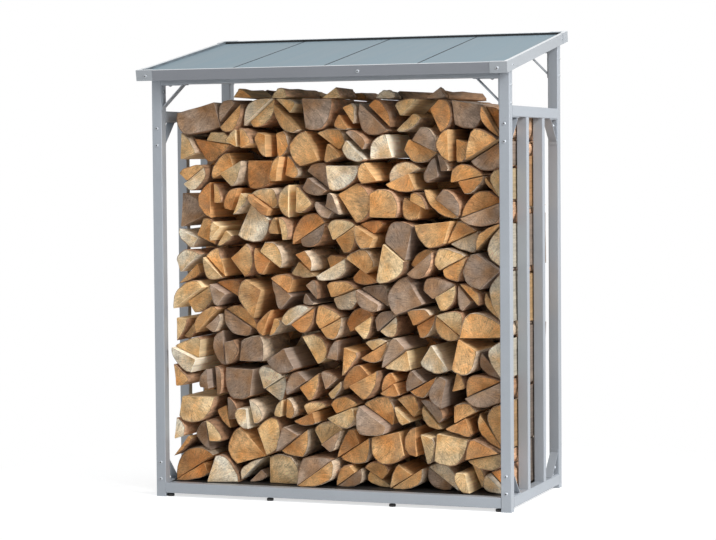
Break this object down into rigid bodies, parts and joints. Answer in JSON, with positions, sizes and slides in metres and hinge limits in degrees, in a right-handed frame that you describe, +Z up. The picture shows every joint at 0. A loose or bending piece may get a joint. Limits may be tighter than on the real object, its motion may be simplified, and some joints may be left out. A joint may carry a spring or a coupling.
{
  "type": "log store",
  "caption": "Free-standing steel log store with a sloping panelled roof, slatted sides and back, corner brackets and feet, filled with split firewood.",
  "frame": {"origin": "on the ground under the middle of the roof", "axes": "+X to the right seen from the front, -Y towards the open front, +Z up"},
  "size_m": [1.47, 0.8384, 1.7916],
  "materials": {
    "steel_tube": "satin silver-grey coating",
    "roof_edge": "satin silver-grey coating",
    "roof_sheet": "satin blue-grey coating",
    "black_rubber": "matt",
    "black_plastic": "matt",
    "firewood": "split and sawn, bark on"
  },
  "bodies": {
    "root": {"front_left_post": "steel_tube", "front_right_post": "steel_tube", "rear_left_post": "steel_tube", "rear_right_post": "steel_tube", "front_base_rail": "steel_tube", "rear_base_rail": "steel_tube", "left_base_rail": "steel_tube", "right_base_rail": "steel_tube", "floor_bearers": "steel_tube", "floor_sheet": "black_plastic", "front_feet": "black_plastic", "rear_feet": "black_plastic", "left_side_rail": "steel_tube", "right_side_rail": "steel_tube", "back_rail": "steel_tube", "left_slats": "steel_tube", "right_slats": "steel_tube", "back_slat_row": "steel_tube", "front_beam": "steel_tube", "rear_beam": "steel_tube", "front_top_brackets": "steel_tube", "rear_top_brackets": "steel_tube", "left_side_brackets": "steel_tube", "right_side_brackets": "steel_tube", "roof_front_edge": "roof_edge", "roof_rear_edge": "roof_edge", "roof_left_edge": "roof_edge", "roof_right_edge": "roof_edge", "roof_corner_caps": "roof_edge", "roof_rafters": "steel_tube", "roof_panel_1": "roof_sheet", "roof_panel_2": "roof_sheet", "roof_panel_3": "roof_sheet", "roof_panel_4": "roof_sheet", "roof_seam_strips": "black_rubber", "roof_seal": "black_rubber", "front_logs_bottom": "firewood", "front_logs_lower": "firewood", "front_logs_upper": "firewood", "front_logs_top": "firewood", "rear_logs_bottom": "firewood", "rear_logs_lower": "firewood", "rear_logs_upper": "firewood", "rear_logs_top": "firewood", "loose_logs": "firewood"}
  },
  "joints": []
}
